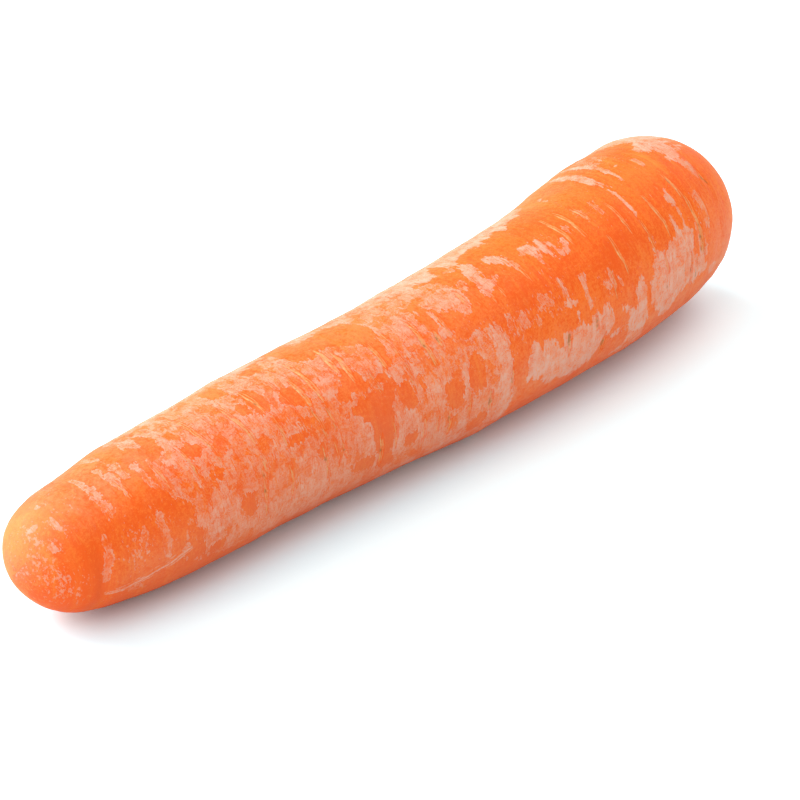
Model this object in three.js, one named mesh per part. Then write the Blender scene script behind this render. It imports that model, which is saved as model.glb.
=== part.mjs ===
// A washed carrot without its leaves, a blunt Nantes type, as one grown solid lying on its side.
// Millimetres, +Z up. +X runs from the root tip to the crown, and the carrot rests on Z = 0.
// Distances "along" are measured from the root tip. Angles run round the root: 0 faces +Y,
// 90 is the top, 180 faces -Y and 270 is the underside.
import * as THREE from "three";

// ---- Driving dimensions ----
const LENGTH = 200;
const RADIUS = [
  // [along, radius], before the two ends are rounded off
  [0, 10.5], [12, 11.9], [25, 13.7], [45, 14.6], [70, 15.4], [100, 16.5],
  [130, 17.9], [155, 19.2], [175, 19.6], [190, 18], [LENGTH, 17.7],
];
const SWAY = [
  // [along, offset in +Y]: the root's slight bend in plan
  [0, 2.2], [25, 0.3], [60, -0.2], [100, -2.8], [140, -3.3], [170, -0.6], [185, 1.7], [LENGTH, 2.6],
];
// Both ends rise a little off the table, over the last stretch of the root.
const TIP_RISE = { height: 3, length: 40 };
const CROWN_RISE = { height: 2, length: 50 };
const WIDER_THAN_TALL = 0.012;
const SETTLED = 0.3; // depth of the narrow flat that the root lies on

const TIP_CAP = { length: 14, fullness: 2.9 };
const CROWN_CAP = { length: 17.5, fullness: 2.45 };

// The crown: a shallow dimple, with the stub of the trimmed leaf stalks standing in it.
const DIMPLE = { radius: 10.5, depth: 4.6 };
const STUB = { radius: 4.4, height: 2.6, edge: 1.5, lobes: 5, lobeDepth: 0.1 };

// Swellings and hollows: [along, angle, height, half length, half width in degrees]
const SWELLINGS = [
  [50, 320, 0.4, 12, 45],
  [85, 145, -0.25, 12, 45],
  [88, 350, -0.4, 10, 50],
  [104, 236, 0.45, 7, 40],
  [120, 330, 0.4, 12, 45],
  [139, 236, -0.32, 7, 40],
  [141, 56, -0.29, 7, 45],
  [150, 10, 0.35, 9, 50],
  [160, 50, 0.25, 7, 45],
  [173, 52, -0.32, 5, 40],
];

// ---- Mesh resolution ----
const SIDES = 40;
const BODY_STEPS = 50;
const TIP_STEPS = 11;
const SHOULDER_STEPS = 10;
const FACE_STEPS = 14;

const radians = (degrees) => THREE.MathUtils.degToRad(degrees);

// Smooth cubic through [x, value] stations.
function through(stations, x) {
  const last = stations.length - 1;
  const slope = (i) => {
    const before = stations[Math.max(i - 1, 0)];
    const after = stations[Math.min(i + 1, last)];
    return (after[1] - before[1]) / (after[0] - before[0]);
  };
  let i = 0;
  while (i < last - 1 && x > stations[i + 1][0]) i += 1;
  const [x0, v0] = stations[i];
  const [x1, v1] = stations[i + 1];
  const span = x1 - x0;
  const t = THREE.MathUtils.clamp((x - x0) / span, 0, 1);
  const rise = t * t * (3 - 2 * t);
  const leave = t * (1 - t) * (1 - t) * span * slope(i);
  const arrive = t * t * (t - 1) * span * slope(i + 1);
  return v0 + (v1 - v0) * rise + leave + arrive;
}

// Clearance under the root that one end's rise gives.
function clearance(rise, fromPole) {
  return rise.height * THREE.MathUtils.clamp(1 - fromPole / rise.length, 0, 1) ** 2;
}

// Share of the full radius that a rounded end leaves at a distance from its pole.
function rounding(cap, fromPole) {
  const inward = THREE.MathUtils.clamp(1 - fromPole / cap.length, 0, 1);
  return Math.sqrt(1 - inward ** cap.fullness);
}

// Distance from an end's pole at which its rounding leaves a share of the full radius.
function capDistance(cap, share) {
  return cap.length * (1 - (1 - share * share) ** (1 / cap.fullness));
}

// Half outline of the straightened root, as (radius, along) from the tip's pole to the crown's.
function outline() {
  const alongs = [];
  for (let i = 0; i < TIP_STEPS; i += 1) {
    alongs.push(capDistance(TIP_CAP, Math.sin(radians((90 * i) / TIP_STEPS))));
  }
  const bodyEnd = LENGTH - CROWN_CAP.length;
  for (let i = 0; i < BODY_STEPS; i += 1) {
    alongs.push(THREE.MathUtils.lerp(TIP_CAP.length, bodyEnd, i / BODY_STEPS));
  }
  const faceShare = DIMPLE.radius / through(RADIUS, LENGTH);
  const shoulderTurn = Math.acos(faceShare);
  for (let i = 0; i < SHOULDER_STEPS; i += 1) {
    alongs.push(LENGTH - capDistance(CROWN_CAP, Math.cos((shoulderTurn * i) / SHOULDER_STEPS)));
  }
  for (let i = 0; i <= FACE_STEPS; i += 1) {
    alongs.push(LENGTH - capDistance(CROWN_CAP, faceShare * (1 - i / FACE_STEPS)));
  }
  return alongs.map((along) => {
    const rounded = rounding(TIP_CAP, along) * rounding(CROWN_CAP, LENGTH - along);
    return new THREE.Vector2(through(RADIUS, along) * rounded, along);
  });
}

// Height of the swellings at a place on the skin.
function swell(along, angle) {
  return SWELLINGS.reduce((sum, [at, facing, height, halfLength, halfWidth]) => {
    const u = (along - at) / halfLength;
    const turned = Math.atan2(Math.sin(angle - radians(facing)), Math.cos(angle - radians(facing)));
    const v = turned / radians(halfWidth);
    return sum + height * Math.exp(-u * u - v * v);
  }, 0);
}

// How far the crown's face moves along the axis at a radius from it: down in the dimple, up on the stub.
function crownFace(radius, angle) {
  const stubRadius = STUB.radius * (1 + STUB.lobeDepth * Math.cos(STUB.lobes * angle));
  const dimple = 1 - THREE.MathUtils.smoothstep(radius, 0, DIMPLE.radius);
  const stub = 1 - THREE.MathUtils.smoothstep(radius, stubRadius - STUB.edge, stubRadius);
  return STUB.height * stub - DIMPLE.depth * dimple;
}

// Takes a point of the straightened root, with its axis on X, to its place in the real one.
function settle(point) {
  const along = point.x;
  const angle = Math.atan2(point.z, point.y);
  const straight = Math.hypot(point.y, point.z);
  const full = through(RADIUS, along);
  const share = straight / full;
  const swelling = swell(along, angle) * share;
  const radius = straight * (1 + WIDER_THAN_TALL * Math.cos(2 * angle)) + swelling;
  const crown = along > LENGTH / 2 ? crownFace(straight, angle) : 0;
  const lifted = clearance(TIP_RISE, along) + clearance(CROWN_RISE, LENGTH - along);
  const axisHeight = full * (1 - WIDER_THAN_TALL) + lifted - SETTLED;
  const height = axisHeight + radius * Math.sin(angle);
  return point.set(
    along + crown,
    through(SWAY, along) + radius * Math.cos(angle),
    Math.max(height, 0),
  );
}

// ---- The root ----
function rootGeometry() {
  const geometry = new THREE.LatheGeometry(outline(), SIDES);
  geometry.rotateZ(-Math.PI / 2);
  const position = geometry.getAttribute("position");
  const point = new THREE.Vector3();
  for (let i = 0; i < position.count; i += 1) {
    settle(point.fromBufferAttribute(position, i));
    position.setXYZ(i, point.x, point.y, point.z);
  }
  geometry.computeVertexNormals();
  geometry.computeBoundingBox();
  const middle = geometry.boundingBox.getCenter(new THREE.Vector3());
  return geometry.translate(-middle.x, -middle.y, -geometry.boundingBox.min.z);
}

const flesh = new THREE.MeshStandardMaterial({
  name: "carrot_skin",
  color: new THREE.Color(0xf5763a),
  roughness: 0.5,
  metalness: 0,
});

const root = new THREE.Mesh(rootGeometry(), flesh);
root.name = "carrot_root";

const carrot = new THREE.Group();
carrot.name = "carrot";
carrot.add(root);

export default carrot;
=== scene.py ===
"""A washed carrot: the skin with its rings, creases and thin pale film, on a white studio table."""
import math
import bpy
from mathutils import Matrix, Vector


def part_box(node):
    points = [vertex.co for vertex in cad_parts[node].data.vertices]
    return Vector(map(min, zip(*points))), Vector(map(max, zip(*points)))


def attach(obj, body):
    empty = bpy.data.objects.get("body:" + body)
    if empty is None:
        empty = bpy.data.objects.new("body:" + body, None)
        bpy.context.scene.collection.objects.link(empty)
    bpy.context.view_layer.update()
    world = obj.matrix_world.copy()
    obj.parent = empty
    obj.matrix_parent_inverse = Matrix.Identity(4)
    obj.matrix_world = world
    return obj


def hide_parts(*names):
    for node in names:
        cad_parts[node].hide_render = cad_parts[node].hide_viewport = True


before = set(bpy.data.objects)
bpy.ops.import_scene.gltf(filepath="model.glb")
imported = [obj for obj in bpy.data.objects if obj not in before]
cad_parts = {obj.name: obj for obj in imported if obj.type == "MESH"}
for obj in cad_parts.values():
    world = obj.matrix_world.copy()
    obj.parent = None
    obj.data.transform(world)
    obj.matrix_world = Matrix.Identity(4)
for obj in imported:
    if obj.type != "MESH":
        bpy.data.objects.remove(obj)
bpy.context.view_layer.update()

from types import SimpleNamespace

import bpy
import numpy as np
from mathutils import Matrix, Vector, noise

MM = 0.001

# ---- The root's form, in millimetres and degrees, as in the part's source ----
# Distances "along" run from the root tip to the crown. Angles run round the root: 0 faces +Y,
# 90 is the top, 180 faces -Y and 270 is the underside.
LENGTH = 200
RADIUS = [
    (0, 10.5), (12, 11.9), (25, 13.7), (45, 14.6), (70, 15.4), (100, 16.5),
    (130, 17.9), (155, 19.2), (175, 19.6), (190, 18), (LENGTH, 17.7),
]
SWAY = [
    (0, 2.2), (25, 0.3), (60, -0.2), (100, -2.8), (140, -3.3), (170, -0.6), (185, 1.7), (LENGTH, 2.6),
]
TIP_RISE = {"height": 3, "length": 40}
CROWN_RISE = {"height": 2, "length": 50}
WIDER_THAN_TALL = 0.012
SETTLED = 0.3
TIP_CAP = {"length": 14, "fullness": 2.9}
CROWN_CAP = {"length": 17.5, "fullness": 2.45}
DIMPLE = {"radius": 10.5, "depth": 4.6}
STUB = {"radius": 4.4, "height": 2.6, "edge": 1.5, "lobes": 5, "lobe_depth": 0.1}
# Swellings and hollows: place, bearing, height, half length and half width in degrees.
SWELLINGS = [
    (50, 320, 0.4, 12, 45), (85, 145, -0.25, 12, 45), (88, 350, -0.4, 10, 50), (104, 236, 0.45, 7, 40),
    (120, 330, 0.4, 12, 45), (139, 236, -0.32, 7, 40), (141, 56, -0.29, 7, 45), (150, 10, 0.35, 9, 50),
    (160, 50, 0.25, 7, 45), (173, 52, -0.32, 5, 40),
]

# Detail that only the dressed carrot has. Waves are a height, a number to the turn and a phase.
CROWN_RAYS = [(0.5, 11, 1), (0.3, 17, 2.3), (0.3, 29, 0.7)]
STUB_EDGE = [(0.06, 3, 0.4), (0.04, 8, 2), (0.03, 19, 0)]
RIB_HEIGHT = 0.16
RIBS_RISE = (3.5, 5.5)  # the radii over which the crown's ribs begin
RIBS_FADE = (7, 13)

RINGS = 1050
SIDES = 94
POLE_SAMPLES = 400
BODY_SAMPLES = 600


def through(stations, x):
    """Smooth cubic through (x, value) stations."""
    xs, values = np.array(stations, float).T
    last = len(xs) - 1
    index = np.arange(last + 1)
    before = np.maximum(index - 1, 0)
    after = np.minimum(index + 1, last)
    slope = (values[after] - values[before]) / (xs[after] - xs[before])
    i = np.clip(np.searchsorted(xs, x) - 1, 0, last - 1)
    span = xs[i + 1] - xs[i]
    t = np.clip((x - xs[i]) / span, 0, 1)
    rise = t * t * (3 - 2 * t)
    leave = t * (1 - t) ** 2 * span * slope[i]
    arrive = t * t * (t - 1) * span * slope[i + 1]
    return values[i] + (values[i + 1] - values[i]) * rise + leave + arrive


def smoothstep(x, low, high):
    t = np.clip((x - low) / (high - low), 0, 1)
    return t * t * (3 - 2 * t)


def waves(angle, table):
    return sum(height * np.sin(number * angle + phase) for height, number, phase in table)


def rounding(cap, from_pole):
    """Share of the full radius that a rounded end leaves at a distance from its pole."""
    inward = np.clip(1 - from_pole / cap["length"], 0, 1)
    return np.sqrt(1 - inward ** cap["fullness"])


def pole_distances(cap, shares):
    """Distances from a rounded end's pole at which it leaves these shares of the full radius."""
    return cap["length"] * (1 - (1 - shares ** 2) ** (1 / cap["fullness"]))


def clearance(rise, from_pole):
    """Clearance under the root that one end's rise gives."""
    return rise["height"] * np.clip(1 - from_pole / rise["length"], 0, 1) ** 2


def on_stub(radius, angle):
    """1 on the top of the cut leaf stub and 0 beside it."""
    lobes = 0.5 * STUB["lobe_depth"] * np.cos(STUB["lobes"] * angle)
    stub_radius = STUB["radius"] * (1 + lobes + waves(angle, STUB_EDGE))
    return 1 - smoothstep(radius, stub_radius - STUB["edge"], stub_radius)


def crown_face(radius, angle):
    """How far the crown's face moves along the axis: down in the dimple, up on the stub."""
    dimple = 1 - smoothstep(radius, 0, DIMPLE["radius"])
    ribbed = smoothstep(radius, *RIBS_RISE) * (1 - smoothstep(radius, *RIBS_FADE))
    ribs = RIB_HEIGHT * waves(angle, CROWN_RAYS) * ribbed
    return STUB["height"] * on_stub(radius, angle) + ribs - DIMPLE["depth"] * dimple


def turn_from(angle, degrees):
    """Angle from a bearing in degrees, the short way round, in radians."""
    turned = angle - math.radians(degrees)
    return np.arctan2(np.sin(turned), np.cos(turned))


def profile():
    """Even steps over the skin from the tip's pole to the crown's: arc length, along and radius."""
    shares = np.sin(np.linspace(0, math.pi / 2, POLE_SAMPLES))
    tip = pole_distances(TIP_CAP, shares)
    crown = pole_distances(CROWN_CAP, shares)
    body = np.linspace(TIP_CAP["length"], LENGTH - CROWN_CAP["length"], BODY_SAMPLES)[1:-1]
    along = np.concatenate([tip, body, LENGTH - crown[::-1]])
    radius = through(RADIUS, along) * rounding(TIP_CAP, along) * rounding(CROWN_CAP, LENGTH - along)
    steps = np.hypot(np.diff(along), np.diff(radius))
    arc = np.concatenate([[0], np.cumsum(steps)])
    even = np.linspace(0, arc[-1], RINGS)
    return even, np.interp(even, arc, along), np.interp(even, arc, radius)


ring_arc, ring_along, ring_radius = profile()
along = ring_along[:, None]
radius = ring_radius[:, None]
angle = np.linspace(0, 2 * math.pi, SIDES, endpoint=False)[None, :]
crown_half = along > LENGTH / 2


def swells(table, power=2):
    """Height that a table of swellings adds. A higher power keeps them flatter across."""
    height = 0
    for at, facing, tall, half_length, half_width in table:
        u = (along - at) / half_length
        v = turn_from(angle, facing) / math.radians(half_width)
        height = height + tall * np.exp(-u * u - v ** power)
    return height


# ---- Markings, placed by (along, angle) corners ----
# Thin, half clear skin film.
THIN_FILM = [
    # the long filmed stretch, tip side to middle
    [(25.2, 60), (25.2, 75), (29, 78), (30.5, 90), (30.2, 106), (28, 112), (25.8, 112), (25, 125),
     (25.2, 142), (27.5, 146), (28.6, 156), (26, 168), (24.6, 190), (26, 198), (35, 207), (60, 218),
     (104, 224), (108, 214), (109, 196), (108.4, 165), (108.6, 148), (107, 141), (103, 139), (100, 140),
     (97.4, 138), (96.8, 126), (96.5, 112), (100, 116), (102.3, 121), (102.4, 126), (104.6, 126), (106, 110),
     (105.4, 100), (104.8, 92), (103, 87), (100, 84), (100, 46), (80, 40), (60, 42), (35, 38)],
    # spindles near the tip
    [(9, 170), (9.2, 187), (10, 188), (10.7, 176), (11.7, 163), (11.7, 150), (11, 142), (10.3, 149),
     (10.4, 160), (9.6, 166)],
    [(25.2, 108), (25, 128), (25.4, 146), (26, 146), (25.9, 126), (25.9, 108)],
    [(13.4, 138), (13.7, 139), (15, 130), (15.1, 112), (14.7, 96), (14.4, 78), (13.7, 79), (13.5, 92),
     (13.8, 108), (13, 105), (12.5, 109), (13.5, 118)],
    [(17.7, 100), (18, 118), (18.6, 129), (18.9, 116), (19.6, 108), (19.2, 97)],
    [(17.5, 86), (17.7, 96), (18.6, 94), (19.2, 84)],
    [(20.1, 112), (21.3, 112), (21, 104), (21.8, 96), (21, 92), (20.4, 83), (20, 90)],
    [(22, 107), (22.9, 113), (22.6, 124), (23, 133), (24.4, 133), (23.8, 125), (23.4, 112), (23.9, 105),
     (22.6, 104)],
    [(20, 44), (19.3, 58), (19.2, 70), (20.2, 79), (21, 78), (20.8, 58)],
    [(24.7, 76), (24.8, 84), (25.8, 90), (26.6, 94), (27.4, 91), (28, 84), (27.5, 78), (26, 73)],
    [(20.5, 176), (21.2, 187), (22, 186), (22.6, 172), (22, 160), (22.3, 150), (21.6, 145), (21.1, 152),
     (20.8, 165)],
    [(17.4, 176), (17.9, 177), (18.3, 164), (18.2, 152), (17.6, 156)],
    [(12.5, 202), (15, 208), (18, 210), (17.5, 205), (15.4, 199)],
    # round the middle
    [(109.4, 148), (110.4, 149), (112, 143), (111.3, 138), (110.2, 139)],
    [(112.6, 145), (113.5, 154), (115.5, 154), (115.4, 147), (114, 141)],
    [(118.4, 148), (120.5, 145), (123, 150), (122.6, 144), (121.5, 139), (120, 138)],
    [(120.5, 155), (122, 155), (121.5, 151)],
    [(117.2, 157), (118.3, 155), (118, 149), (117.3, 150)],
    [(136.2, 152), (138.4, 158), (139.2, 156), (137.4, 151)],
    [(139.5, 146), (139.7, 160), (140.4, 160), (140.7, 147)],
    [(140.8, 155), (142.3, 161), (142.9, 158), (141.6, 154)],
    [(106.2, 105), (107.4, 109), (109.2, 104), (109, 100), (107, 100)],
    [(107.8, 85), (110, 89), (110.5, 85), (109, 83)],
    [(147.7, 102), (147.8, 115), (148.7, 115), (149.1, 102)],
    [(143.2, 100), (143.6, 112), (144.8, 110), (144.6, 101)],
    [(136.9, 106), (137, 114), (138.2, 110), (138.3, 104)],
    [(143.8, 76), (144.4, 78), (145.2, 67), (144.3, 68)],
    [(174, 142), (174.4, 160), (175.8, 165), (177, 155), (176.4, 140), (175.2, 136)],
    [(170, 156), (170.5, 170), (172, 176), (173.6, 172), (172.4, 158), (171.4, 150)],
    [(160, 60), (161, 77), (163, 80), (165.5, 76), (167, 60)],
    [(175.6, 190), (177.4, 197), (180.4, 197), (179.6, 191)],
    [(145, 196), (144, 206), (140, 212), (150, 216), (152, 206), (150, 198)],
]
# Clean orange openings in the thin film.
BARE = [
    [(32, 112), (32.2, 125), (34.8, 127), (35.6, 118), (34.4, 110)],
    [(32.2, 92), (32, 104), (34, 106), (34.6, 95)],
    [(46, 80), (46, 72), (50, 68), (50.3, 90), (47, 90)],
    [(47.4, 104), (47.4, 117), (49.8, 118), (50, 104)],
    [(50, 96), (50, 120), (52.4, 122), (54, 118), (54, 100), (52, 94)],
    [(56.4, 72), (56.6, 84), (58.5, 87), (60.2, 83), (60.2, 72)],
    [(55.8, 121), (58, 128), (60, 131), (62.7, 131), (62.6, 127), (60.8, 124), (60, 112), (58, 109),
     (57.2, 112)],
    [(65, 56), (65, 85), (66, 98), (68, 100), (71.5, 97), (75, 99), (76.4, 104), (79, 109), (79.6, 133),
     (81.6, 134), (82.5, 118), (83.4, 101), (84.1, 96), (83, 88), (82, 76), (80, 74), (78.6, 66), (77, 72),
     (75.4, 73), (72, 76), (70.2, 72), (70, 56)],
    [(66.2, 141), (68, 144), (70.2, 139), (73, 142), (76, 141), (78.6, 142), (79.2, 135), (77.4, 134),
     (76, 138), (73.8, 135), (73.9, 127), (73, 121), (71.2, 118), (70.2, 123), (69.4, 128), (68, 130),
     (66.8, 135)],
    [(66, 150), (70, 155), (71.2, 165), (71.5, 178), (72.5, 186), (72.6, 198), (75, 207), (77.6, 203),
     (76.2, 192), (76.8, 175), (77.2, 158), (79.6, 148), (79.6, 142), (72, 144)],
    [(65.4, 187), (67, 194), (70, 198), (73, 199), (73, 190), (69.6, 186)],
    [(79, 150), (80, 160), (81, 170), (82.6, 170), (83.7, 160), (83, 150), (81.3, 147)],
    [(79.8, 183), (79.4, 192), (80, 199), (82, 193), (82.5, 184)],
    [(81, 201), (82, 210), (84, 208), (83.6, 202)],
    [(90.2, 163), (90.4, 178), (92, 182), (94.2, 181), (94.9, 170), (94.5, 162), (92, 158)],
    [(92, 98), (93.6, 103), (93, 115), (92.6, 121), (95, 127), (96, 120), (96.4, 106), (95, 96)],
    [(96.6, 162), (96.7, 176), (98.4, 180), (100.4, 176), (101.2, 158), (100.2, 150), (98.4, 150)],
    [(97, 200), (98, 216), (102.4, 214), (102.6, 203), (101.4, 196)],
    [(90.6, 187), (90.8, 198), (92.4, 197), (92.6, 188)],
    [(51.8, 181), (52.3, 192), (54, 203), (55.2, 199), (53.6, 188), (53.4, 181)],
    [(38.8, 166), (38.8, 184), (41, 186), (42.6, 180), (42.2, 168)],
    [(25.6, 170), (26, 198), (34, 202), (35.6, 190), (30, 194), (29, 174), (27.6, 160)],
    [(84.6, 132), (85, 137), (86.4, 136), (86.2, 132)],
    [(52, 146), (52.4, 152), (56, 153), (57.4, 148), (54, 145)],
    [(56.8, 138), (57, 145), (60, 146), (61, 140), (58.6, 137)],
    [(33, 140), (34.4, 147), (36, 148), (37.4, 142), (35.4, 138)],
    [(58, 163), (58.2, 171), (59.6, 171), (59.8, 161)],
    [(84.7, 147), (85, 157), (86.1, 160), (86.2, 149)],
    [(101.4, 92), (102, 95), (104.4, 95), (103.6, 90)],
]
# Thick pale film.
THICK_FILM = [
    [(28.6, 170), (29.8, 176), (30, 187), (30.2, 193), (31.9, 194), (32.2, 186), (33.6, 186), (36, 181),
     (38, 181), (38.1, 170), (37.4, 159), (36.4, 156), (36.1, 149), (35.5, 147), (34.4, 152), (33.2, 148),
     (33, 156), (31, 162), (29, 168)],
    [(35, 199), (36.4, 203), (38.6, 201), (39.2, 195), (41, 197), (42.5, 205), (44.4, 210), (50, 212),
     (58, 214), (65, 213), (66, 203), (63, 190), (65, 178), (60, 172), (57, 174), (54, 182), (52.6, 178),
     (50, 176), (46, 182), (43, 179), (41.6, 188), (39, 188), (38, 183), (36, 189)],
    [(62, 186), (63, 197), (66, 202), (71, 206), (72.4, 200), (66, 197), (65, 188)],
    [(66.4, 166), (67.4, 179), (70, 183), (71.4, 178), (70.8, 165), (68.6, 158)],
    [(77.4, 165), (77, 180), (76.8, 192), (78.6, 200), (79.4, 190), (79.6, 181), (81, 178), (84, 178),
     (83.4, 172), (80.6, 168), (79.4, 160), (78.2, 158)],
    [(82.6, 180), (82.4, 192), (84.4, 202), (86, 212), (92, 218), (96.4, 216), (96.6, 200), (95.6, 186),
     (93.4, 184), (92.8, 200), (90.4, 200), (90, 184), (86, 179)],
    [(85.4, 160), (86, 170), (87, 175), (89.4, 175), (90, 166), (89.4, 158), (87, 156)],
    [(94.8, 160), (95, 180), (96.4, 186), (96.7, 172), (96.6, 152), (95.4, 150)],
    [(101.4, 184), (101.6, 199), (102.8, 202), (103, 194), (102.4, 184)],
    [(104, 212), (107, 212), (108.6, 202), (108, 190), (108.2, 180), (107.4, 172), (108, 163), (107.4, 155),
     (108.3, 148), (107, 143), (104.5, 143), (104.8, 150), (104.3, 160), (105, 168), (104, 176), (103.6, 182),
     (105, 188), (104, 194), (104.6, 202)],
    [(111.7, 191), (112.8, 186), (112.4, 180), (112.5, 172), (113.4, 165), (115, 163), (116, 169), (117, 173),
     (117.4, 166), (118.4, 168), (120.6, 168), (119, 172), (121, 174), (122.5, 176), (123, 169), (124.6, 168),
     (125.5, 171), (129, 169), (131, 171), (132, 167), (133.5, 167), (134.5, 170), (135.5, 166), (137, 165),
     (138, 172), (138.8, 178), (137.6, 186), (135, 190), (134, 197), (132.6, 204), (128, 206), (124, 205),
     (122, 201), (120, 204), (118, 199), (117, 191), (114.5, 193), (113.5, 189)],
    [(140.8, 173), (142.6, 172), (144, 177), (146, 184), (146.2, 168), (147.6, 160), (149, 166), (149.6, 180),
     (151, 190), (150.4, 200), (147, 200), (144, 193), (141, 191), (138.4, 193), (139, 188), (143.6, 188),
     (144, 182), (142, 178)],
    [(151.3, 180), (151.4, 170), (152.8, 160), (154.3, 156), (154.9, 145), (155.5, 145), (156, 154),
     (158.5, 157), (160, 155), (162, 153), (163, 152), (163.2, 141), (163.8, 141), (164.2, 151), (165.6, 152),
     (166.4, 150), (165.6, 138), (165.8, 130), (166.6, 127), (167.3, 131), (166.8, 140), (167.4, 150),
     (168, 155), (169, 160), (168, 165), (167.6, 171), (169, 174), (171.4, 172), (174, 173), (174, 176),
     (172.6, 180), (174.2, 188), (170, 187), (168.5, 192), (166.5, 190), (165, 187), (164, 191), (162, 192),
     (161, 197), (160.4, 201), (157, 202), (155.4, 199), (154.4, 192), (152.8, 190)],
    # specks and spindles on the tip
    [(2.6, 92), (2.8, 99), (3.9, 101), (4, 94)],
    [(2.9, 129), (3, 140), (4, 142), (4.3, 135), (3.9, 128)],
    [(4.9, 101), (5, 114), (5.5, 128), (5.9, 133), (6.3, 120), (6.1, 103)],
    [(5.8, 80), (5.9, 84), (6.3, 84), (6.3, 80)],
    [(31, 146), (31.6, 146), (31.9, 120), (31.7, 100), (31.6, 82), (31, 82), (31.3, 110)],
    # ring streaks
    [(155.2, 128), (155.7, 128), (155.9, 112), (155.7, 98), (156.6, 78), (156.2, 58), (155, 40), (154, 58),
     (153.9, 80), (154.4, 98), (154.9, 112)],
    [(160, 103), (160.4, 104), (161.4, 94), (161.2, 74), (160.6, 60), (159.6, 46), (159.2, 60), (159.6, 76),
     (160, 90)],
    [(168, 95), (168.2, 106), (169.2, 106), (169.2, 96)],
    [(163, 91), (163.4, 94), (164, 93), (163.8, 90)],
    # patches above the middle
    [(109.8, 121), (112, 122), (113, 116), (115.2, 111), (113.2, 110), (113.4, 103), (113, 97), (114.4, 91),
     (113.4, 87), (112, 87), (111.6, 93), (110.2, 96), (109.4, 103), (110, 108)],
    [(113.4, 99), (115.8, 99), (115.6, 96), (113.6, 97)],
    [(116.4, 99), (117, 94), (118.6, 92), (119.6, 99), (121, 102), (121.4, 112), (120.4, 116), (119.5, 108),
     (118, 105), (117.8, 101)],
    [(123.7, 105), (125, 109), (126.2, 115), (126.3, 127), (126.8, 120), (127.5, 112), (129, 116),
     (130.3, 122), (130.4, 113), (131.6, 119), (131.6, 124), (134, 123), (135.2, 115), (134.6, 110),
     (133.7, 114), (133.3, 120), (132.3, 118), (131.6, 110), (130.6, 112), (130.2, 103), (129, 105),
     (127.8, 108), (127.5, 102), (126, 101), (125.2, 103)],
    [(123.4, 151), (125.4, 153), (125.8, 156), (128.6, 155), (128.4, 152), (127.4, 150), (127.2, 136),
     (126.6, 133), (126, 138), (126.2, 149)],
    [(131.7, 165), (132.5, 160), (132.6, 149), (133.4, 142), (133, 138), (131.7, 139), (131.9, 150),
     (131.5, 158)],
    [(127.6, 160), (128, 165), (128.5, 164), (128.3, 160)],
    # the top band
    [(84, 52), (85, 70), (86.5, 66), (89, 62), (91, 72), (94, 66), (97, 74), (100, 82), (101.5, 78),
     (103, 84), (105, 84), (107, 83), (107.5, 76), (109, 68), (110.2, 62), (111, 78), (112.4, 84), (114, 80),
     (117, 76), (120, 74), (122, 81), (123.4, 74), (126, 74), (128, 70), (129.4, 80), (130, 82), (131, 74),
     (133, 70), (137, 71), (139, 64), (141, 62), (142.4, 55), (140, 40), (125, 34), (104, 30), (92, 38)],
    [(70.6, 46), (71, 68), (73, 74), (75.5, 72), (77.6, 68), (79.4, 50)],
    [(34, 42), (31, 54), (31, 68), (36, 72), (40, 66), (45, 62), (50, 66), (55, 70), (61, 64), (64.6, 66),
     (64.6, 54), (58, 34), (44, 30)],
    # the crown's shoulder
    [(172.6, 90), (175, 98), (177, 104), (176, 113), (178, 118), (179, 127), (180.4, 131), (181.6, 128),
     (181.4, 119), (180, 114), (181.4, 109), (184, 107), (186.6, 103), (183, 102), (182.6, 98), (187, 97),
     (183.4, 94), (183, 89), (188.6, 88), (190.2, 78), (189, 64), (184, 50), (175, 46), (170, 52), (173, 60),
     (174, 68), (176, 76), (177, 80), (175, 84)],
]
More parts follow.
